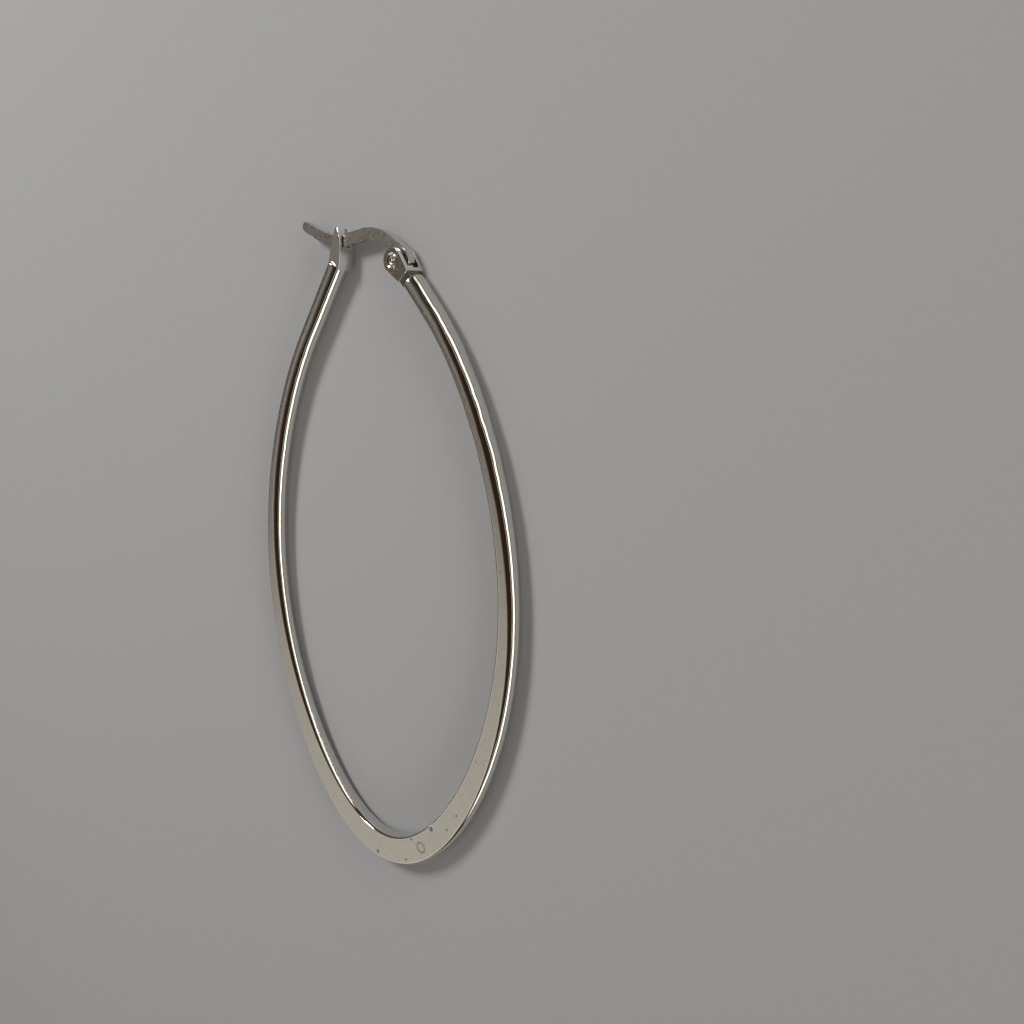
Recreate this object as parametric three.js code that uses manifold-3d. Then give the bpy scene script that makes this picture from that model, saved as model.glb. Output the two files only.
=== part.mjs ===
// An oval latch-back hoop earring in polished stainless steel, in millimetres.
//
// The hoop lies flat: its plane is XY, +Y points to the clasp and +Z out of the upper face.
// Shapes are worked out about the oval's centre, and the finished group is then moved so
// that the origin is the centre of the footprint and the lowest metal touches z = 0.
//
//   hoop          tapered band, hinge bracket and catch fork, soldered into one solid
//   hinge_rivet   tubular rivet through the bracket's two lugs
//   ear_wire      flat-sided S-curved lever that turns on the rivet and snaps into the fork

import * as THREE from 'three';
import { mergeVertices } from 'three/addons/utils/BufferGeometryUtils.js';
import Module from 'manifold-3d';

// ---- Driving dimensions ---------------------------------------------------------------

// Oval centre line: x = halfWidth sin a (1 - egg cos a - waist cos 2a),
//                   y = halfHeight cos a (1 - shoulder sin^2 a), with a = 0 at the clasp.
const OVAL = { halfWidth: 16.3, halfHeight: 29, egg: 0.035, waist: 0.034, shoulder: 0.054 };

// Both ends of the band leave the oval on a straight leg along its tangent.
const HINGE_LEG = { angle: 30, length: 3.5 };
const CATCH_LEG = { angle: 38, length: 8.4 };

// Band section, as half sizes at the clasp, at the widest point and at the bottom.
const RADIAL = { top: 1.0, side: 1.1, bottom: 1.5 };
const FLAT = { top: 0.2, side: 0.5, bottom: 1.3 };
const THICKNESS = { top: 1.1, bottom: 0.72, flatBelow: -20, fullAbove: 27 };
const RIM = { length: 0.18, inset: 0.16 };

// Hinge bracket: a U of two round-headed lugs that taper to a web, on a collar that is
// soldered to the hinge leg. Heights count down from the pivot.
const BRACKET = { height: 2.45, lugRadius: 1.15, halfWidth: 1.05, channel: 0.68 };
const WEB = { top: 1.62, base: 1.98, outer: 0.86, inner: 0.7 };
const COLLAR = { halfWidth: 0.88, halfDepth: 0.66, overlap: 0.15 };
const PIN_HOLE = { radius: 0.45, sinkRadius: 0.68, sinkDepth: 0.2 };

// Rivet: a tube with two flared, dished heads that lie inside the countersinks.
const RIVET = { shank: 0.42, head: 0.56, headDepth: 0.13, rim: 1.02, bore: 0.2, boreDepth: 0.5, dish: 0.38 };

// Ear wire: side-view height, narrower towards the tip, thickness, edges and pivot eye.
const WIRE = {
  height: 1.1, tipHeight: 0.94, fullHeightFrom: 0.36, thickness: 0.8, edge: 0.12,
  eyeRadius: 1.05, eyeHole: 0.46,
};

// The ear wire's middle line, from the free tip, over the fork and the hump, to the heel.
const WIRE_ROUTE = [
  { name: 'tip', x: -9.36, y: 32.8 },
  { name: 'tail', x: -7.05, y: 31.82 },
  { name: 'notch', x: -4.6, y: 31.2 },
  { name: 'rise', x: -2.3, y: 31.48 },
  { name: 'hump', x: 0.0, y: 31.74 },
  { name: 'shoulder', x: 1.9, y: 31.27 },
  { name: 'lug', x: 3.35, y: 30.43 },
  { name: 'heel', x: 4.35, y: 29.8 },
  { name: 'toe', x: 4.7, y: 29.15 },
];

// Catch fork: two walls beside the ear wire that lean along the catch leg, each with a
// pointed prong. The side outline is seen along z, the end outline along the ear wire.
const FORK = {
  baseLeft: [-5.45, 29.5], baseRight: [-4.05, 28.5], wallLeft: -4.7, wallRight: -3.72,
  wallFoot: 30.4, wallTop: 31.7, prongTop: 32.5, prongRight: -3.85, tipLeft: -4.55, tipRight: -4.15,
  halfWidth: 0.84, tipHalfWidth: 0.66, slot: 0.49, floor: 30.5,
};

// Facets.
const BAND_STEPS = 132;
const EDGE_STEPS = 9;
const WIRE_STEPS = 44;
const ROUND_STEPS = 40;

// ---- Materials ------------------------------------------------------------------------

function steel(color, roughness) {
  return new THREE.MeshStandardMaterial({ color, roughness, metalness: 1 });
}

// ---- Solids ---------------------------------------------------------------------------

const wasm = await Module();
wasm.setup();

function toSolid(geometry) {
  const bare = new THREE.BufferGeometry();
  bare.setAttribute('position', geometry.getAttribute('position').clone());
  if (geometry.index) bare.setIndex(geometry.index.clone());
  const merged = mergeVertices(bare, 1e-5);
  return new wasm.Manifold(new wasm.Mesh({
    numProp: 3,
    vertProperties: new Float32Array(merged.attributes.position.array),
    triVerts: new Uint32Array(merged.index.array),
  }));
}

function toGeometry(solid) {
  const mesh = solid.getMesh();
  const geometry = new THREE.BufferGeometry();
  geometry.setAttribute('position', new THREE.BufferAttribute(new Float32Array(mesh.vertProperties), 3));
  geometry.setIndex(new THREE.BufferAttribute(new Uint32Array(mesh.triVerts), 1));
  geometry.computeVertexNormals();
  return geometry;
}

// A plate of the given outline, centred on z = 0.
function plate(shape, thickness, options = {}) {
  const geometry = new THREE.ExtrudeGeometry(shape, {
    depth: thickness, bevelEnabled: false, curveSegments: ROUND_STEPS, ...options,
  });
  geometry.computeBoundingBox();
  const { min, max } = geometry.boundingBox;
  return geometry.translate(0, 0, -(min.z + max.z) / 2);
}

function pin(radius, length, center) {
  return new THREE.CylinderGeometry(radius, radius, length, ROUND_STEPS)
    .rotateX(Math.PI / 2)
    .translate(center.x, center.y, 0);
}

function polygon(points) {
  return new THREE.Shape(points.map(([x, y]) => new THREE.Vector2(x, y)));
}

// ---- The oval and its section ---------------------------------------------------------

function ovalPoint(angle) {
  const [sin, cos] = [Math.sin(angle), Math.cos(angle)];
  return new THREE.Vector2(
    OVAL.halfWidth * sin * (1 - OVAL.egg * cos - OVAL.waist * Math.cos(2 * angle)),
    OVAL.halfHeight * cos * (1 - OVAL.shoulder * sin * sin),
  );
}

function ovalTangent(angle) {
  const step = 1e-4;
  return ovalPoint(angle + step).sub(ovalPoint(angle - step)).normalize();
}

// A size given at the clasp, the widest point and the bottom, blended around the oval.
function around(size, angle) {
  const cos = Math.cos(angle);
  const bend = (size.top + size.bottom) / 2 - size.side;
  const lean = (size.top - size.bottom) / 2;
  return size.side + lean * cos + bend * cos * cos;
}

function halfThickness(y) {
  const t = THREE.MathUtils.smoothstep(y, THICKNESS.flatBelow, THICKNESS.fullAbove);
  return THREE.MathUtils.lerp(THICKNESS.bottom, THICKNESS.top, t);
}

const HINGE_ANGLE = THREE.MathUtils.degToRad(HINGE_LEG.angle);
const CATCH_ANGLE = 2 * Math.PI - THREE.MathUtils.degToRad(CATCH_LEG.angle);
const HINGE_DIRECTION = ovalTangent(HINGE_ANGLE).negate();
const CATCH_DIRECTION = ovalTangent(CATCH_ANGLE);
const HINGE_END = ovalPoint(HINGE_ANGLE).addScaledVector(HINGE_DIRECTION, HINGE_LEG.length);
const PIVOT = HINGE_END.clone().addScaledVector(HINGE_DIRECTION, BRACKET.height);

// Stations along the band: place, direction, oval angle for the section, and rim inset.
function bandStations() {
  const stations = [];
  const leg = (angle, direction, length, sign) => {
    const start = ovalPoint(angle);
    const distances = [length, length - RIM.length * 0.35, length - RIM.length, length * 0.5];
    const insets = [RIM.inset, RIM.inset * 0.35, 0, 0];
    return distances.map((distance, i) => ({
      point: start.clone().addScaledVector(direction, distance),
      tangent: direction.clone().multiplyScalar(sign),
      angle,
      inset: insets[i],
    }));
  };
  stations.push(...leg(HINGE_ANGLE, HINGE_DIRECTION, HINGE_LEG.length, -1));
  for (let i = 0; i <= BAND_STEPS; i += 1) {
    const angle = THREE.MathUtils.lerp(HINGE_ANGLE, CATCH_ANGLE, i / BAND_STEPS);
    stations.push({ point: ovalPoint(angle), tangent: ovalTangent(angle), angle, inset: 0 });
  }
  stations.push(...leg(CATCH_ANGLE, CATCH_DIRECTION, CATCH_LEG.length, 1).reverse());
  return stations;
}

// One closed section: two flats joined by half-ellipse edges, outer edge first.
function bandSection({ point, tangent, angle, inset }) {
  const outward = new THREE.Vector2(-tangent.y, tangent.x);
  const flat = around(FLAT, angle);
  const edge = around(RADIAL, angle) - flat - inset;
  const half = halfThickness(point.y) - inset;
  const ring = [];
  for (const side of [1, -1]) {
    for (let i = 0; i <= EDGE_STEPS; i += 1) {
      const turn = (Math.PI * i) / EDGE_STEPS - Math.PI / 2;
      const across = side * (flat + edge * Math.cos(turn));
      const place = point.clone().addScaledVector(outward, across);
      ring.push(new THREE.Vector3(place.x, place.y, side * half * Math.sin(turn)));
    }
  }
  return ring;
}

// A closed skin through equal rings, with a fan over each end.
function loft(rings) {
  const count = rings[0].length;
  const positions = rings.flat();
  const index = [];
  for (let r = 0; r + 1 < rings.length; r += 1) {
    for (let i = 0; i < count; i += 1) {
      const [a, b] = [r * count + i, r * count + ((i + 1) % count)];
      index.push(a, b, b + count, a, b + count, a + count);
    }
  }
  for (const [first, flip] of [[0, true], [(rings.length - 1) * count, false]]) {
    const middle = new THREE.Vector3();
    for (let i = 0; i < count; i += 1) middle.addScaledVector(positions[first + i], 1 / count);
    positions.push(middle);
    for (let i = 0; i < count; i += 1) {
      const [a, b] = [first + i, first + ((i + 1) % count)];
      index.push(...(flip ? [b, a, positions.length - 1] : [a, b, positions.length - 1]));
    }
  }
  const geometry = new THREE.BufferGeometry().setFromPoints(positions);
  return geometry.setIndex(index);
}

function bandSolid() {
  return toSolid(loft(bandStations().map(bandSection)));
}

// ---- Hinge bracket --------------------------------------------------------------------

// Shapes here are drawn with the pivot at 0, 0 and the hinge leg along -y, then turned.
function alongHingeLeg(geometry) {
  const turn = Math.atan2(HINGE_DIRECTION.y, HINGE_DIRECTION.x) - Math.PI / 2;
  return geometry.rotateZ(turn).translate(PIVOT.x, PIVOT.y, 0);
}

function lugOutline() {
  const { lugRadius } = BRACKET;
  const shape = new THREE.Shape();
  shape.moveTo(-WEB.inner, -WEB.base);
  shape.lineTo(WEB.outer, -WEB.base);
  shape.lineTo(lugRadius, 0);
  shape.absarc(0, 0, lugRadius, 0, Math.PI, false);
  shape.closePath();
  return shape;
}

// The hole's core runs through both lugs and opens into a cone at each outer face.
function pinHoleSolid() {
  const face = BRACKET.halfWidth;
  const profile = [
    [0, -face - 1], [PIN_HOLE.sinkRadius, -face - 1], [PIN_HOLE.sinkRadius, -face],
    [PIN_HOLE.radius, -face + PIN_HOLE.sinkDepth], [PIN_HOLE.radius, face - PIN_HOLE.sinkDepth],
    [PIN_HOLE.sinkRadius, face], [PIN_HOLE.sinkRadius, face + 1], [0, face + 1],
  ].map(([x, y]) => new THREE.Vector2(x, y));
  return toSolid(alongHingeLeg(new THREE.LatheGeometry(profile, ROUND_STEPS).rotateX(Math.PI / 2)));
}

function bracketSolid() {
  const { halfWidth, channel, lugRadius, height } = BRACKET;
  const body = toSolid(alongHingeLeg(plate(lugOutline(), 2 * halfWidth)));
  const gapHeight = WEB.top + 2 * lugRadius;
  const gap = new THREE.BoxGeometry(4 * lugRadius, gapHeight, 2 * channel)
    .translate(0, gapHeight / 2 - WEB.top, 0);
  const collarHeight = height - WEB.base + 2 * COLLAR.overlap;
  const collar = new THREE.BoxGeometry(2 * COLLAR.halfDepth, collarHeight, 2 * COLLAR.halfWidth)
    .translate(0, -WEB.base + COLLAR.overlap - collarHeight / 2, 0);
  return body
    .subtract(toSolid(alongHingeLeg(gap)))
    .subtract(pinHoleSolid())
    .add(toSolid(alongHingeLeg(collar)));
}

// ---- Catch fork -----------------------------------------------------------------------

// The side outline, pulled across, meets the end outline, pulled along the ear wire.
function forkSolid() {
  const side = polygon([
    FORK.baseLeft, FORK.baseRight, [FORK.wallRight, FORK.wallFoot], [FORK.wallRight, FORK.wallTop],
    [FORK.prongRight, FORK.wallTop], [FORK.tipRight, FORK.prongTop],
    [FORK.tipLeft, FORK.prongTop], [FORK.wallLeft, FORK.wallTop],
  ]);
  const foot = FORK.baseRight[1];
  const end = polygon([
    [-FORK.halfWidth, foot], [FORK.halfWidth, foot], [FORK.halfWidth, FORK.wallTop],
    [FORK.tipHalfWidth, FORK.prongTop], [FORK.slot, FORK.prongTop], [FORK.slot, FORK.floor],
    [-FORK.slot, FORK.floor], [-FORK.slot, FORK.prongTop], [-FORK.tipHalfWidth, FORK.prongTop],
    [-FORK.halfWidth, FORK.wallTop],
  ]);
  const reach = FORK.wallRight - FORK.baseLeft[0];
  const across = plate(side, 4 * FORK.halfWidth);
  const along = plate(end, 2 * reach)
    .rotateY(Math.PI / 2)
    .translate((FORK.wallRight + FORK.baseLeft[0]) / 2, 0, 0);
  return toSolid(across).intersect(toSolid(along));
}

function makeHoop() {
  const solid = bandSolid().add(bracketSolid()).add(forkSolid());
  return new THREE.Mesh(toGeometry(solid), steel(0xcfcdc8, 0.14));
}

// ---- Hinge rivet ----------------------------------------------------------------------

function makeHingeRivet() {
  const { shank, head, headDepth, rim, bore, boreDepth, dish } = RIVET;
  const half = [
    [bore, rim - boreDepth], [bore, rim - headDepth], [dish, rim], [head, rim],
    [head, rim - 0.03], [shank, rim - headDepth - 0.03],
  ];
  const mirrored = half.map(([r, z]) => [r, -z]).reverse();
  const profile = [[0, rim - boreDepth], ...half, ...mirrored, [0, boreDepth - rim]];
  const points = profile.map(([x, y]) => new THREE.Vector2(x, y)).reverse();
  const geometry = new THREE.LatheGeometry(points, ROUND_STEPS).rotateX(Math.PI / 2);
  return new THREE.Mesh(toGeometry(toSolid(alongHingeLeg(geometry))), steel(0xbdbab4, 0.22));
}

// ---- Ear wire -------------------------------------------------------------------------

// The side outline: both edges of the middle line, with round ends, inset for the edges.
function wireOutline() {
  const route = WIRE_ROUTE.map(({ x, y }) => new THREE.Vector3(x, y, 0));
  const curve = new THREE.CatmullRomCurve3(route, false, 'centripetal');
  const halfAt = (t) => {
    const grown = THREE.MathUtils.smoothstep(t, 0, WIRE.fullHeightFrom);
    return THREE.MathUtils.lerp(WIRE.tipHeight, WIRE.height, grown) / 2 - WIRE.edge;
  };
  const edgePoint = (t, side) => {
    const along = curve.getTangentAt(t);
    const middle = curve.getPointAt(t);
    const half = halfAt(t);
    return new THREE.Vector2(middle.x - side * half * along.y, middle.y + side * half * along.x);
  };
  const roundEnd = (t, from) => {
    const middle = curve.getPointAt(t);
    const along = curve.getTangentAt(t);
    const half = halfAt(t);
    const start = Math.atan2(along.x, -along.y) + (from > 0 ? 0 : Math.PI);
    return [0.2, 0.4, 0.6, 0.8].map((k) => {
      const turn = start - Math.PI * k;
      return new THREE.Vector2(middle.x + half * Math.cos(turn), middle.y + half * Math.sin(turn));
    });
  };
  const steps = Array.from({ length: WIRE_STEPS + 1 }, (_, i) => i / WIRE_STEPS);
  const upper = steps.map((t) => edgePoint(t, 1));
  const lower = steps.map((t) => edgePoint(t, -1)).reverse();
  return new THREE.Shape([...upper, ...roundEnd(1, 1), ...lower, ...roundEnd(0, -1)]);
}

function makeEarWire() {
  const bevel = {
    bevelEnabled: true, bevelThickness: WIRE.edge, bevelSize: WIRE.edge, bevelSegments: 2,
  };
  const depth = WIRE.thickness - 2 * WIRE.edge;
  const solid = toSolid(plate(wireOutline(), depth, bevel))
    .add(toSolid(pin(WIRE.eyeRadius, WIRE.thickness, PIVOT)))
    .subtract(toSolid(pin(WIRE.eyeHole, 2 * WIRE.thickness, PIVOT)));
  return new THREE.Mesh(toGeometry(solid), steel(0xa9a69f, 0.3));
}

// ---- Assembly -------------------------------------------------------------------------

function named(name, mesh) {
  mesh.name = name;
  return mesh;
}

const earring = new THREE.Group();
earring.add(
  named('hoop', makeHoop()),
  named('hinge_rivet', makeHingeRivet()),
  named('ear_wire', makeEarWire()),
);

const footprint = new THREE.Box3().setFromObject(earring);
const middle = footprint.getCenter(new THREE.Vector3());
earring.position.set(-middle.x, -middle.y, -footprint.min.z);

export default earring;
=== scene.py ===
# The looks of the hoop earring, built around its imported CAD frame.
# Shapes are drawn in millimetres about the oval's centre and moved into the frame at the end.
import math

import bmesh
import bpy
from mathutils import Matrix, Vector, noise

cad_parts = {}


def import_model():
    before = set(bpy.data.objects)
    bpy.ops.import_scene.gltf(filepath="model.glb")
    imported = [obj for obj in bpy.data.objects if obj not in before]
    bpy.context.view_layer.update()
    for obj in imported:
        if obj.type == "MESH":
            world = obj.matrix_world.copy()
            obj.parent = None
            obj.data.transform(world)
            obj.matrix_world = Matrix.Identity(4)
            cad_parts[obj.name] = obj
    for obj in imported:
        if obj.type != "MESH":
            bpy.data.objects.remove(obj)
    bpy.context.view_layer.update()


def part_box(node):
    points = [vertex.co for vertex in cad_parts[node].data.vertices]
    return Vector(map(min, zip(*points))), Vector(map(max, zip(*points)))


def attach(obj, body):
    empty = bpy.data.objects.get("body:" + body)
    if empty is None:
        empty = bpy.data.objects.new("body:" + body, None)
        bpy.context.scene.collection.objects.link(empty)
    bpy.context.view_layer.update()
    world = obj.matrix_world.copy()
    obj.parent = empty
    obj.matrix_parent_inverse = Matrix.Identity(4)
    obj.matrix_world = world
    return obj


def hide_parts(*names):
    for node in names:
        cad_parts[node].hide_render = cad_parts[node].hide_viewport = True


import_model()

MM = 0.001
HOOP_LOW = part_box("hoop")[0]
RIVET_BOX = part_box("hinge_rivet")
WIRE_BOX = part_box("ear_wire")

# ---- Dimensions, in millimetres, as in the CAD part -------------------------------------

OVAL = {"half_width": 16.3, "half_height": 29.0, "egg": 0.035, "waist": 0.034, "shoulder": 0.054}
HINGE_LEG = {"angle": 30.0, "length": 3.5}
CATCH_LEG = {"angle": 38.0, "length": 8.4}
RADIAL = (1.0, 1.1, 1.5)
FLAT = (0.14, 0.46, 1.28)
HALF_THICK = {"bottom": 0.72, "top": 1.1, "flat_below": -20.0, "full_above": 27.0}
EDGE_REACH = math.radians(70)
CORNER = 0.07
END_ROUND = 0.2

BRACKET = {"height": 2.45, "radius": 1.15, "half": 1.05, "channel": 0.68}
WEB = {"top": 1.62, "base": 1.98, "outer": 0.86, "inner": 0.7}
COLLAR = {"half_width": 0.88, "half_depth": 0.66, "overlap": 0.15}
PIN_HOLE = {"radius": 0.45, "sink": 0.68, "depth": 0.2}

WIRE = {"height": 1.1, "tip": 0.94, "full_from": 0.36, "thick": 0.8, "eye": 1.05, "hole": 0.46}
WIRE_ROUTE = [
    (-9.36, 32.8), (-7.05, 31.82), (-4.6, 31.2), (-2.3, 31.48), (0.0, 31.74),
    (1.9, 31.27), (3.35, 30.43), (4.35, 29.8), (4.7, 29.15),
]

FORK = {
    "base_left": (-5.45, 29.5), "base_right": (-4.05, 28.5), "wall_left": -4.7,
    "wall_right": -3.72, "foot": 30.4, "wall_top": 31.7, "prong_top": 32.5,
    "prong_right": -3.85, "tip_left": -4.55, "tip_right": -4.15,
    "half": 0.84, "tip_half": 0.66, "slot": 0.49, "floor": 30.5,
}

# The oval's centre, in the frame: the band's lowest edge is known, and it lies at half the
# thickness of the bracket's end of the band.
CENTRE = Vector((0.0, HOOP_LOW.y / MM + OVAL["half_height"] + RADIAL[2], HALF_THICK["top"]))


# ---- Mesh helpers -----------------------------------------------------------------------

def new_object(name, vertices, faces):
    mesh = bpy.data.meshes.new(name)
    mesh.from_pydata([tuple(v) for v in vertices], [], faces)
    mesh.validate()
    tidy = bmesh.new()
    tidy.from_mesh(mesh)
    bmesh.ops.recalc_face_normals(tidy, faces=tidy.faces)
    tidy.to_mesh(mesh)
    tidy.free()
    obj = bpy.data.objects.new(name, mesh)
    bpy.context.scene.collection.objects.link(obj)
    return obj


def bake(obj):
    """The object's modifiers become its mesh."""
    graph = bpy.context.evaluated_depsgraph_get()
    mesh = bpy.data.meshes.new_from_object(obj.evaluated_get(graph))
    obj.modifiers.clear()
    obj.data = mesh
    return obj


def plate(name, outline, low, high):
    """A straight-sided plate between two heights."""
    count = len(outline)
    vertices = [(x, y, low) for x, y in outline] + [(x, y, high) for x, y in outline]
    faces = [tuple(range(count))[::-1], tuple(range(count, 2 * count))]
    faces += [(i, (i + 1) % count, (i + 1) % count + count, i + count) for i in range(count)]
    return new_object(name, vertices, faces)


def block(name, low, high):
    (x0, y0, z0), (x1, y1, z1) = low, high
    return plate(name, [(x0, y0), (x1, y0), (x1, y1), (x0, y1)], z0, z1)


def turned(name, profile, steps=72):
    """A solid of revolution about z. The profile runs from the axis to the axis."""
    rings = profile[1:-1]
    vertices = [(0, 0, profile[0][1])]
    for radius, height in rings:
        for i in range(steps):
            turn = 2 * math.pi * i / steps
            vertices.append((radius * math.cos(turn), radius * math.sin(turn), height))
    vertices.append((0, 0, profile[-1][1]))
    last = len(vertices) - 1
    faces = []
    for i in range(steps):
        j = (i + 1) % steps
        faces.append((0, 1 + j, 1 + i))
        for r in range(len(rings) - 1):
            a, b = 1 + r * steps, 1 + (r + 1) * steps
            faces.append((a + i, a + j, b + j, b + i))
        end = 1 + (len(rings) - 1) * steps
        faces.append((last, end + i, end + j))
    return new_object(name, vertices, faces)


def combine(obj, tool, operation):
    cut = obj.modifiers.new("combine", "BOOLEAN")
    cut.operation, cut.solver, cut.object = operation, "EXACT", tool
    bake(obj)
    bpy.data.objects.remove(tool)
    return obj


def soften(obj, width, segments=3, angle=28.0):
    edge = obj.modifiers.new("soften", "BEVEL")
    edge.width, edge.segments, edge.limit_method = width, segments, "ANGLE"
    edge.angle_limit = math.radians(angle)
    edge.use_clamp_overlap = True
    return bake(obj)


def settle(obj, body, materials, replaced=()):
    """Moves a finished shape from millimetres into the frame, and gives it its body."""
    obj.data.transform(Matrix.Scale(MM, 4) @ Matrix.Translation(CENTRE))
    for polygon in obj.data.polygons:
        polygon.use_smooth = True
    obj.data.materials.clear()
    for material in materials:
        obj.data.materials.append(material)
    even = obj.modifiers.new("even", "WEIGHTED_NORMAL")
    even.weight, even.keep_sharp = 90, True
    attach(obj, body)
    if replaced:
        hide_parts(*replaced)
    return obj


# ---- The oval ---------------------------------------------------------------------------

def smooth(value, low, high):
    t = min(max((value - low) / (high - low), 0.0), 1.0)
    return t * t * (3 - 2 * t)


def mix(a, b, t):
    return a + (b - a) * t


def oval_point(angle):
    s, c = math.sin(angle), math.cos(angle)
    return Vector((
        OVAL["half_width"] * s * (1 - OVAL["egg"] * c - OVAL["waist"] * math.cos(2 * angle)),
        OVAL["half_height"] * c * (1 - OVAL["shoulder"] * s * s),
    ))


def oval_tangent(angle):
    step = 1e-4
    return (oval_point(angle + step) - oval_point(angle - step)).normalized()


def around(sizes, angle):
    top, side, bottom = sizes
    c = math.cos(angle)
    return side + (top - bottom) / 2 * c + ((top + bottom) / 2 - side) * c * c


def half_thick(y):
    t = smooth(y, HALF_THICK["flat_below"], HALF_THICK["full_above"])
    return mix(HALF_THICK["bottom"], HALF_THICK["top"], t)


HINGE_ANGLE = math.radians(HINGE_LEG["angle"])
CATCH_ANGLE = 2 * math.pi - math.radians(CATCH_LEG["angle"])
HINGE_WAY = -oval_tangent(HINGE_ANGLE)
CATCH_WAY = oval_tangent(CATCH_ANGLE)
HINGE_END = oval_point(HINGE_ANGLE) + HINGE_WAY * HINGE_LEG["length"]
PIVOT = HINGE_END + HINGE_WAY * BRACKET["height"]


# ---- Band -------------------------------------------------------------------------------

BAND_STEPS = 640
ARC_STEPS = 20
RIPPLE = {"height": 0.009, "length": 1.9, "fine_height": 0.002, "fine_length": 0.6, "near_hinge": 3.0,
          "dimple": 0.02, "dimple_length": 0.85}


def stations():
    """Place, direction, section angle and inset at each step along the band."""
    rows = []

    def leg(angle, way, length, sign):
        start = oval_point(angle)
        out = []
        for k in range(9):
            turn = math.pi / 2 * k / 8
            out.append((length - END_ROUND * (1 - math.cos(turn)), END_ROUND * (1 - math.sin(turn))))
        steps = max(2, int((length - END_ROUND) / 0.25))
        for k in range(1, steps):
            out.append(((length - END_ROUND) * (1 - k / steps), 0.0))
        return [(start + way * d, way * sign, angle, inset) for d, inset in out]

    rows += leg(HINGE_ANGLE, HINGE_WAY, HINGE_LEG["length"], -1)
    for i in range(BAND_STEPS + 1):
        angle = mix(HINGE_ANGLE, CATCH_ANGLE, i / BAND_STEPS)
        rows.append((oval_point(angle), oval_tangent(angle), angle, 0.0))
    rows += leg(CATCH_ANGLE, CATCH_WAY, CATCH_LEG["length"], 1)[::-1]
    return rows


def section(flat, edge, half):
    """The closed section as (across, height, is on a flat), from the outer lower corner."""
    reach = EDGE_REACH
    full = 1 - math.cos(reach)

    def arc(turn):
        return (flat + edge * (math.cos(turn) - math.cos(reach)) / full,
                half * math.sin(turn) / math.sin(reach))

    bend = reach * 0.9
    before, at, after = (flat - CORNER, half), (flat, half), arc(bend)
    corner = []
    for k in range(5):
        t = k / 4
        corner.append(tuple(
            (1 - t) ** 2 * before[i] + 2 * t * (1 - t) * at[i] + t * t * after[i] for i in (0, 1)
        ))
    upper = [(*p, False) for p in corner[::-1]] + [(flat - CORNER * 1.8, half, True)]
    lower = [(x, -y, on) for x, y, on in upper[::-1]]
    middle = [(*arc(mix(-bend, bend, k / ARC_STEPS)), False) for k in range(1, ARC_STEPS)]
    side = lower + middle + upper
    return side + [(-x, -y, on) for x, y, on in side]


def band():
    rings, sides = [], []
    for point, tangent, angle, inset in stations():
        outward = Vector((-tangent.y, tangent.x))
        flat = around(FLAT, angle)
        edge = around(RADIAL, angle) - flat - inset
        half = half_thick(point.y) - inset
        ring = []
        for across, height, on_flat in section(flat, edge, half):
            place = point + outward * across
            spot = Vector((place.x, place.y, height))
            if not on_flat:
                hammered = smooth(point.y, 4.0, 12.0) if point.x > 0 else 0.0
                wave = noise.noise(spot / RIPPLE["length"]) * RIPPLE["height"]
                wave *= 1 + RIPPLE["near_hinge"] * hammered
                dimple = noise.noise(spot / RIPPLE["dimple_length"]) * RIPPLE["dimple"]
                wave += dimple * hammered
                wave += noise.noise(spot / RIPPLE["fine_length"]) * RIPPLE["fine_height"]
                push = Vector((outward.x, outward.y, 0)) * math.copysign(1.0, across)
                spot += push * wave
            ring.append(spot)
        rings.append(ring)
    count = len(rings[0])
    vertices = [v for ring in rings for v in ring]
    faces, kinds = [], []
    half_count = count // 2
    for r in range(len(rings) - 1):
        for i in range(count):
            j = (i + 1) % count
            a, b = r * count, (r + 1) * count
            faces.append((a + i, a + j, b + j, b + i))
            k = i % half_count
            kinds.append(1 if k in (0, half_count - 2, half_count - 1) else 0)
    faces.append(tuple(range(count))[::-1])
    faces.append(tuple(range(len(vertices) - count, len(vertices))))
    kinds += [0, 0]
    obj = new_object("band", vertices, faces)
    for polygon, kind in zip(obj.data.polygons, kinds):
        polygon.material_index = kind
    return obj, kinds


# ---- Hinge bracket ----------------------------------------------------------------------

LEG_TURN = math.atan2(HINGE_WAY.y, HINGE_WAY.x) - math.pi / 2
TO_HINGE = Matrix.Translation((PIVOT.x, PIVOT.y, 0)) @ Matrix.Rotation(LEG_TURN, 4, "Z")


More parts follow.
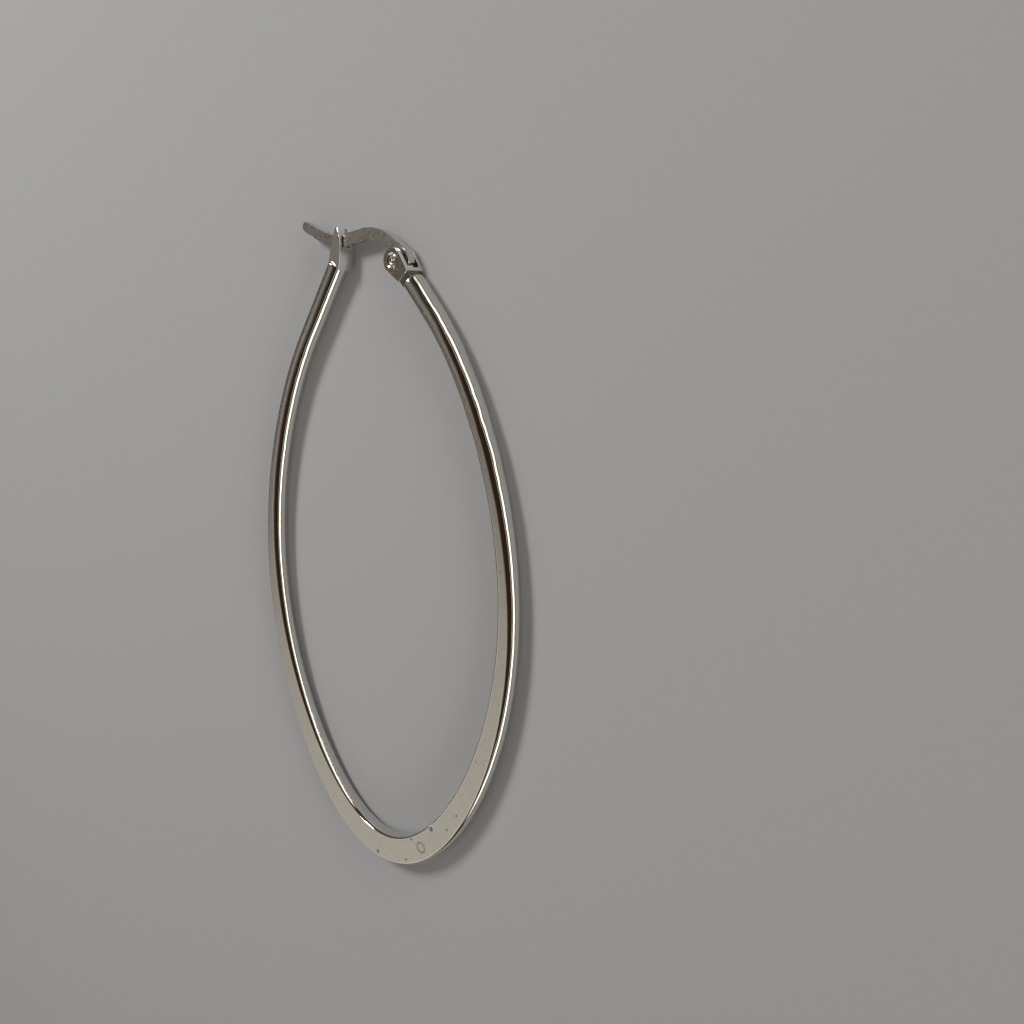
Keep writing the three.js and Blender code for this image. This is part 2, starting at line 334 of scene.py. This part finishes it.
def bracket():
    radius, half = BRACKET["radius"], BRACKET["half"]
    outline = [(-WEB["inner"], -WEB["base"]), (WEB["outer"], -WEB["base"])]
    outline += [
        (radius * math.cos(math.pi * k / 48), radius * math.sin(math.pi * k / 48))
        for k in range(49)
    ]
    body = plate("bracket", outline, -half, half)
    channel = BRACKET["channel"]
    combine(body, block("gap", (-3, -WEB["top"], -channel), (3, 3, channel)), "DIFFERENCE")
    hole = turned("hole", [
        (0, -half - 1), (PIN_HOLE["sink"], -half - 1), (PIN_HOLE["sink"], -half),
        (PIN_HOLE["radius"], -half + PIN_HOLE["depth"]),
        (PIN_HOLE["radius"], half - PIN_HOLE["depth"]),
        (PIN_HOLE["sink"], half), (PIN_HOLE["sink"], half + 1), (0, half + 1),
    ])
    combine(body, hole, "DIFFERENCE")
    soften(body, 0.055)
    neck = block(
        "neck",
        (-COLLAR["half_depth"], -BRACKET["height"] - 0.1, -COLLAR["half_width"]),
        (COLLAR["half_depth"], -WEB["base"] + COLLAR["overlap"], COLLAR["half_width"]),
    )
    groove = 0.05
    for k, level in enumerate((-WEB["base"] - 0.13, -WEB["base"] - 0.31)):
        ring = block("ring", (-0.8, level - 0.035, -1.05), (0.8, level + 0.035, 1.05))
        inside = block(
            "inside",
            (-COLLAR["half_depth"] + groove, level - 0.1, -COLLAR["half_width"] + groove),
            (COLLAR["half_depth"] - groove, level + 0.1, COLLAR["half_width"] - groove),
        )
        combine(ring, inside, "DIFFERENCE")
        combine(neck, ring, "DIFFERENCE")
    soften(neck, 0.02, 2)
    body.data.transform(TO_HINGE)
    neck.data.transform(TO_HINGE)
    neck.name = "bracket_neck"
    return body, neck


# ---- Catch fork -------------------------------------------------------------------------

def fork():
    left, right = FORK["wall_left"], FORK["wall_right"]
    side = plate("fork", [
        FORK["base_left"], FORK["base_right"], (right, FORK["foot"]), (right, FORK["wall_top"]),
        (FORK["prong_right"], FORK["wall_top"]), (FORK["tip_right"], FORK["prong_top"]),
        (FORK["tip_left"], FORK["prong_top"]), (left, FORK["wall_top"]),
    ], -2, 2)
    half, tip, slot = FORK["half"], FORK["tip_half"], FORK["slot"]
    foot, top, high, floor = FORK["base_right"][1], FORK["wall_top"], FORK["prong_top"], FORK["floor"]
    outline = [
        (-half, foot - 1), (half, foot - 1), (half, top), (tip, high + 0.1), (slot, high + 0.1),
        (slot, floor), (-slot, floor), (-slot, high + 0.1), (-tip, high + 0.1), (-half, top),
    ]
    across = plate("across", outline, -8, 0)
    across.data.transform(Matrix(((0, 0, 1, 0), (0, 1, 0, 0), (-1, 0, 0, 0), (0, 0, 0, 1))))
    combine(side, across, "INTERSECT")
    return soften(side, 0.09, 4)


# ---- Rivet ------------------------------------------------------------------------------

def rivet():
    upper = [
        (0.0, 0.56), (0.1, 0.57), (0.16, 0.62), (0.18, 0.74), (0.2, 0.84), (0.25, 0.93),
        (0.33, 0.99), (0.42, 1.015), (0.5, 1.0), (0.55, 0.96), (0.57, 0.92), (0.5, 0.88),
        (0.42, 0.86),
    ]
    profile = upper + [(r, -z) for r, z in upper[::-1]]
    obj = turned("rivet", profile[::-1], 96)
    obj.data.transform(Matrix.Translation((PIVOT.x, PIVOT.y, 0)))
    return obj


# ---- Ear wire ---------------------------------------------------------------------------

def catmull(points, per_span):
    """A centripetal Catmull-Rom line through the points."""
    pts = [Vector(p) for p in points]
    pts = [pts[0] * 2 - pts[1]] + pts + [pts[-1] * 2 - pts[-2]]
    out = []
    for i in range(1, len(pts) - 2):
        p = pts[i - 1:i + 3]
        knots = [0.0]
        for a, b in zip(p, p[1:]):
            knots.append(knots[-1] + max((b - a).length, 1e-6) ** 0.5)
        last = i == len(pts) - 3
        for s in range(per_span + (1 if last else 0)):
            t = mix(knots[1], knots[2], s / per_span)
            a = [p[k] * ((knots[k + 1] - t) / (knots[k + 1] - knots[k]))
                 + p[k + 1] * ((t - knots[k]) / (knots[k + 1] - knots[k])) for k in range(3)]
            b = [a[k] * ((knots[k + 2] - t) / (knots[k + 2] - knots[k]))
                 + a[k + 1] * ((t - knots[k]) / (knots[k + 2] - knots[k])) for k in range(2)]
            out.append(b[0] * ((knots[2] - t) / (knots[2] - knots[1]))
                       + b[1] * ((t - knots[1]) / (knots[2] - knots[1])))
    return out


def ear_wire():
    line = catmull(WIRE_ROUTE, 14)
    lengths = [0.0]
    for a, b in zip(line, line[1:]):
        lengths.append(lengths[-1] + (b - a).length)
    upper, lower, ends = [], [], []
    for i, point in enumerate(line):
        ahead, behind = line[min(i + 1, len(line) - 1)], line[max(i - 1, 0)]
        way = (ahead - behind).normalized()
        grown = smooth(lengths[i] / lengths[-1], 0.0, WIRE["full_from"])
        half = mix(WIRE["tip"], WIRE["height"], grown) / 2
        side = Vector((-way.y, way.x)) * half
        upper.append(point + side)
        lower.append(point - side)
        ends.append((point, way, half))

    def cap(end, sign):
        point, way, half = end
        start = math.atan2(way.x, -way.y) + (0 if sign > 0 else math.pi)
        return [
            point + Vector((math.cos(start - math.pi * k / 12), math.sin(start - math.pi * k / 12))) * half
            for k in range(1, 12)
        ]

    outline = upper + cap(ends[-1], 1) + lower[::-1] + cap(ends[0], -1)
    half = WIRE["thick"] / 2
    body = plate("ear_wire_shape", [(p.x, p.y) for p in outline], -half, half)
    eye = turned("eye", [(0, -half), (WIRE["eye"], -half), (WIRE["eye"], half), (0, half)], 72)
    eye.data.transform(Matrix.Translation((PIVOT.x, PIVOT.y, 0)))
    combine(body, eye, "UNION")
    hole = turned("hole", [(0, -1), (WIRE["hole"], -1), (WIRE["hole"], 1), (0, 1)], 72)
    hole.data.transform(Matrix.Translation((PIVOT.x, PIVOT.y, 0)))
    combine(body, hole, "DIFFERENCE")
    return soften(body, 0.13, 4, 40.0)


# ---- Materials --------------------------------------------------------------------------

class Nodes:
    """A short way to write a material's nodes."""

    def __init__(self, name):
        self.material = bpy.data.materials.new(name)
        self.material.use_nodes = True
        self.tree = self.material.node_tree
        self.shader = self.tree.nodes["Principled BSDF"]
        self.place = self.add("ShaderNodeTexCoord").outputs["Object"]

    def add(self, kind, **settings):
        node = self.tree.nodes.new(kind)
        for key, value in settings.items():
            setattr(node, key, value)
        return node

    def link(self, source, target):
        self.tree.links.new(source, target)

    def noise(self, size, detail=3.0, rough=0.5, stretch=None):
        """Noise whose features are about size millimetres."""
        node = self.add("ShaderNodeTexNoise")
        node.inputs["Scale"].default_value = 1 / (size * MM)
        node.inputs["Detail"].default_value = detail
        node.inputs["Roughness"].default_value = rough
        source = self.place
        if stretch:
            mapping = self.add("ShaderNodeMapping")
            mapping.inputs["Scale"].default_value = stretch
            self.link(self.place, mapping.inputs["Vector"])
            source = mapping.outputs["Vector"]
        self.link(source, node.inputs["Vector"])
        return node.outputs["Fac"]

    def span(self, source, low, high, to_low, to_high):
        node = self.add("ShaderNodeMapRange", interpolation_type="SMOOTHSTEP")
        for key, value in zip(("From Min", "From Max", "To Min", "To Max"), (low, high, to_low, to_high)):
            node.inputs[key].default_value = value
        self.link(source, node.inputs["Value"])
        return node.outputs["Result"]

    def math(self, operation, a, b):
        node = self.add("ShaderNodeMath", operation=operation)
        for socket, value in zip(node.inputs, (a, b)):
            if isinstance(value, (int, float)):
                socket.default_value = value
            else:
                self.link(value, socket)
        return node.outputs["Value"]

    def blend(self, factor, a, b):
        node = self.add("ShaderNodeMix", data_type="RGBA")
        self.link(factor, node.inputs["Factor"])
        for socket, value in ((node.inputs["A"], a), (node.inputs["B"], b)):
            if isinstance(value, tuple):
                socket.default_value = (*value, 1.0)
            else:
                self.link(value, socket)
        return node.outputs["Result"]

    def bump(self, height, strength, distance, after=None):
        node = self.add("ShaderNodeBump")
        node.inputs["Strength"].default_value = strength
        node.inputs["Distance"].default_value = distance * MM
        self.link(height, node.inputs["Height"])
        if after is not None:
            self.link(after, node.inputs["Normal"])
        return node.outputs["Normal"]

    def near(self, spots, ring=None):
        """1 within each (x, y, radius) spot on the upper face, else 0; a ring is hollow."""
        total = None
        for x, y, radius in spots:
            node = self.add("ShaderNodeVectorMath", operation="DISTANCE")
            self.link(self.place, node.inputs[0])
            node.inputs[1].default_value = (x * MM, y * MM, 1.82 * MM)
            value = self.span(node.outputs["Value"], radius * 0.55 * MM, radius * 1.1 * MM, 1.0, 0.0)
            if ring:
                hollow = self.span(node.outputs["Value"], radius * 0.5 * MM, radius * 0.8 * MM, 0.0, 1.0)
                value = self.math("MULTIPLY", value, hollow)
            total = value if total is None else self.math("MAXIMUM", total, value)
        return total


def polished(name, tint, rough=(0.05, 0.13), wave=0.25):
    n = Nodes(name)
    n.shader.inputs["Metallic"].default_value = 1.0
    cloud = n.noise(3.2, 2.0)
    fine = n.noise(0.16, 4.0, 0.6)
    specks = n.span(n.noise(0.32, 2.0, 0.7), 0.68, 0.78, 0.0, 1.0)
    base = n.blend(cloud, tuple(c * 0.96 for c in tint), tint)
    n.link(n.blend(specks, base, tuple(c * 0.62 for c in tint)), n.shader.inputs["Base Color"])
    smear = n.span(n.math("ADD", cloud, n.math("MULTIPLY", fine, 0.5)), 0.5, 1.05, *rough)
    n.link(n.math("ADD", smear, n.math("MULTIPLY", specks, 0.16)), n.shader.inputs["Roughness"])
    scratch = n.noise(0.07, 2.0, 0.5, stretch=(1.0, 0.08, 1.0))
    shape = n.bump(n.noise(0.9, 1.5, 0.4), wave, 0.05)
    shape = n.bump(fine, 0.05, 0.006, shape)
    n.link(n.bump(scratch, 0.08, 0.006, shape), n.shader.inputs["Normal"])
    return n.material


def satin(name, tint, rough=(0.26, 0.38), marks=False):
    n = Nodes(name)
    n.shader.inputs["Metallic"].default_value = 1.0
    cloud = n.noise(2.6, 3.0)
    grain = n.noise(0.11, 5.0, 0.65)
    mottle = n.noise(0.45, 4.0, 0.7)
    pits = n.span(n.noise(0.17, 3.0, 0.8), 0.635, 0.71, 0.0, 1.0)
    base = n.blend(cloud, tuple(c * 0.9 for c in tint), tint)
    base = n.blend(n.span(mottle, 0.36, 0.66, 0.42, 0.0), base, tuple(c * 0.72 for c in tint))
    if marks:
        dots = n.near([(-0.7, -31.2, 0.24), (3.6, -30.5, 0.16), (4.4, -28.0, 0.17),
                       (7.3, -25.9, 0.3), (9.5, -25.2, 0.15), (10.8, -23.3, 0.14)])
        stain = n.near([(5.8, -28.4, 0.66)], ring=True)
        dark = n.math("MAXIMUM", n.math("MULTIPLY", dots, 0.85), n.math("MULTIPLY", stain, 1.0))
        base = n.blend(dark, base, (0.12, 0.10, 0.08))
    n.link(n.blend(n.math("MULTIPLY", pits, 0.7), base, tuple(c * 0.34 for c in tint)),
           n.shader.inputs["Base Color"])
    rough_map = n.span(mottle, 0.3, 0.7, *rough)
    n.link(n.math("ADD", rough_map, n.math("MULTIPLY", pits, 0.2)), n.shader.inputs["Roughness"])
    shape = n.bump(n.noise(1.6, 2.0), 0.25, 0.03)
    shape = n.bump(grain, 0.22, 0.012, shape)
    hollow = n.math("SUBTRACT", 1.0, pits)
    n.link(n.bump(hollow, 0.5, 0.02, shape), n.shader.inputs["Normal"])
    return n.material


POLISHED = polished("polished_steel", (0.76, 0.745, 0.70), (0.04, 0.10))
BRIGHT = polished("bright_steel", (0.9, 0.89, 0.87), (0.06, 0.16), 0.4)
# The soldered neck's dark tint is painted shade in the joint between bracket and band.
NECK_PAINTED_SHADE = polished("soldered_neck_painted_shade", (0.30, 0.28, 0.26), (0.12, 0.22), 0.4)
WORN = polished("worn_rivet_steel", (0.62, 0.6, 0.56), (0.16, 0.28), 0.4)
SATIN = satin("satin_steel", (0.56, 0.55, 0.52))
FLATS = satin("worn_flat_steel", (0.60, 0.585, 0.54), (0.2, 0.3), marks=True)
# Steel with a brown tint: a painted reflection of brown wood, not the metal's own colour.
BROWN_REFLECTION_STEEL = satin("steel_with_painted_brown_reflection", (0.46, 0.41, 0.33), (0.2, 0.3))


# ---- The pieces -------------------------------------------------------------------------

band_piece, band_kinds = band()
settle(band_piece, "hoop_body", (POLISHED, FLATS), ("hoop",))
for polygon, kind in zip(band_piece.data.polygons, band_kinds):
    polygon.material_index = kind

bracket_piece, neck_piece = bracket()
settle(bracket_piece, "hoop_body", (BRIGHT, BROWN_REFLECTION_STEEL))
# The flat sides of the bracket take the brown-tinted steel, a painted reflection.
for polygon in bracket_piece.data.polygons:
    flat_side = abs(polygon.normal.z) > 0.98 and abs(polygon.center.z / MM - CENTRE.z) > 1.0
    polygon.material_index = 1 if flat_side else 0
# The neck gets the dark steel: painted shade where bracket and band meet.
settle(neck_piece, "hoop_body", (NECK_PAINTED_SHADE,))

fork_piece = settle(fork(), "hoop_body", (BRIGHT,))
settle(rivet(), "hoop_body", (WORN,), ("hinge_rivet",))

wire_piece = settle(ear_wire(), "ear_wire_body", (POLISHED, SATIN), ("ear_wire",))
for polygon in wire_piece.data.polygons:
    polygon.material_index = 1 if abs(polygon.normal.z) > 0.98 else 0


# ---- Floor, light and camera ------------------------------------------------------------

def look_at(obj, place, aim, up=(0, 1, 0)):
    back = (Vector(place) - Vector(aim)).normalized()
    right = Vector(up).cross(back).normalized()
    turn = Matrix((right, back.cross(right), back)).transposed().to_4x4()
    obj.matrix_world = Matrix.Translation(Vector(place)) @ turn


def floor():
    size = 1.5
    obj = plate("floor", [(-size, -size), (size, -size), (size, size), (-size, size)], -0.01, 0.0)
    n = Nodes("floor_paint")
    grain = n.noise(0.8, 3.0)
    n.link(n.blend(grain, (0.52, 0.535, 0.56), (0.54, 0.555, 0.58)), n.shader.inputs["Base Color"])
    n.shader.inputs["Roughness"].default_value = 0.8
    obj.data.materials.append(n.material)


def softbox(name, place, aim, width, height, power, colour=(1, 1, 1)):
    light = bpy.data.lights.new(name, "AREA")
    light.shape, light.size, light.size_y = "RECTANGLE", width, height
    light.energy, light.color = power, colour
    obj = bpy.data.objects.new(name, light)
    bpy.context.scene.collection.objects.link(obj)
    look_at(obj, place, aim, (0, 0.02, 1))


def world():
    """A dim studio: a bright window band in front, a soft light overhead, grey behind."""
    sky = bpy.data.worlds.new("studio")
    bpy.context.scene.world = sky
    sky.use_nodes = True
    tree = sky.node_tree
    background = tree.nodes["Background"]
    direction = tree.nodes.new("ShaderNodeTexCoord").outputs["Generated"]

    def along(way):
        node = tree.nodes.new("ShaderNodeVectorMath")
        node.operation = "DOT_PRODUCT"
        tree.links.new(direction, node.inputs[0])
        node.inputs[1].default_value = Vector(way).normalized()
        return node.outputs["Value"]

    def ramp(source, low, high, to_low, to_high):
        node = tree.nodes.new("ShaderNodeMapRange")
        node.interpolation_type = "SMOOTHSTEP"
        for key, value in zip(("From Min", "From Max", "To Min", "To Max"), (low, high, to_low, to_high)):
            node.inputs[key].default_value = value
        tree.links.new(source, node.inputs["Value"])
        return node.outputs["Result"]

    def join(operation, *values):
        total = values[0]
        for value in values[1:]:
            node = tree.nodes.new("ShaderNodeMath")
            node.operation = operation
            tree.links.new(total, node.inputs[0])
            tree.links.new(value, node.inputs[1])
            total = node.outputs["Value"]
        return total

    height, front = along((0, 0, 1)), along((1, 0, 0))
    rear = join("MULTIPLY", ramp(height, 0.1, 1.0, 0.03, 0.22), ramp(front, -0.35, 0.15, 1.0, 0.0))
    behind = ramp(along((-0.62, -0.62, 0.48)), 0.82, 1.0, 0.0, 0.55)
    pane = join("MULTIPLY", ramp(height, 0.10, 0.16, 0.0, 1.0), ramp(height, 0.36, 0.46, 1.0, 0.0))
    slit = join("MULTIPLY", ramp(height, 0.56, 0.58, 0.0, 0.4), ramp(height, 0.60, 0.62, 1.0, 0.0))
    window = join("MULTIPLY", join("ADD", pane, slit), ramp(front, 0.1, 0.35, 0.0, 2.0))
    tint = tree.nodes.new("ShaderNodeVectorMath")
    tint.operation = "SCALE"
    tint.inputs[0].default_value = (1.0, 0.965, 0.88)
    tree.links.new(join("ADD", rear, behind, window), tint.inputs["Scale"])
    brown = tree.nodes.new("ShaderNodeVectorMath")
    brown.operation = "ADD"
    brown.inputs[1].default_value = (0.030, 0.018, 0.011)
    tree.links.new(tint.outputs["Vector"], brown.inputs[0])
    seen = tree.nodes.new("ShaderNodeMix")
    seen.data_type = "RGBA"
    seen.inputs["B"].default_value = (0.30, 0.298, 0.292, 1.0)
    tree.links.new(tree.nodes.new("ShaderNodeLightPath").outputs["Is Camera Ray"], seen.inputs["Factor"])
    tree.links.new(brown.outputs["Vector"], seen.inputs["A"])
    tree.links.new(seen.outputs["Result"], background.inputs["Color"])
    background.inputs["Strength"].default_value = 1.0


floor()
world()
TARGET = (0.0, 0.0, 0.0)
softbox("key", (-0.17, 0.29, 0.33), TARGET, 0.13, 0.13, 0.95, (1.0, 0.99, 0.97))

CAMERA_PLACE = (0.0743, 0.0232, 0.0649)
CAMERA_AIM = (0.0162, 0.0063, 0.0)
CAMERA_LENS = 36.0 * 1025.3 / 1024

camera = bpy.data.objects.new("camera", bpy.data.cameras.new("camera"))
bpy.context.scene.collection.objects.link(camera)
camera.data.lens, camera.data.sensor_width = CAMERA_LENS, 36.0
camera.data.clip_start, camera.data.clip_end = 0.002, 10.0
look_at(camera, CAMERA_PLACE, CAMERA_AIM)
bpy.context.scene.camera = camera
bpy.context.scene.view_settings.view_transform = "Standard"
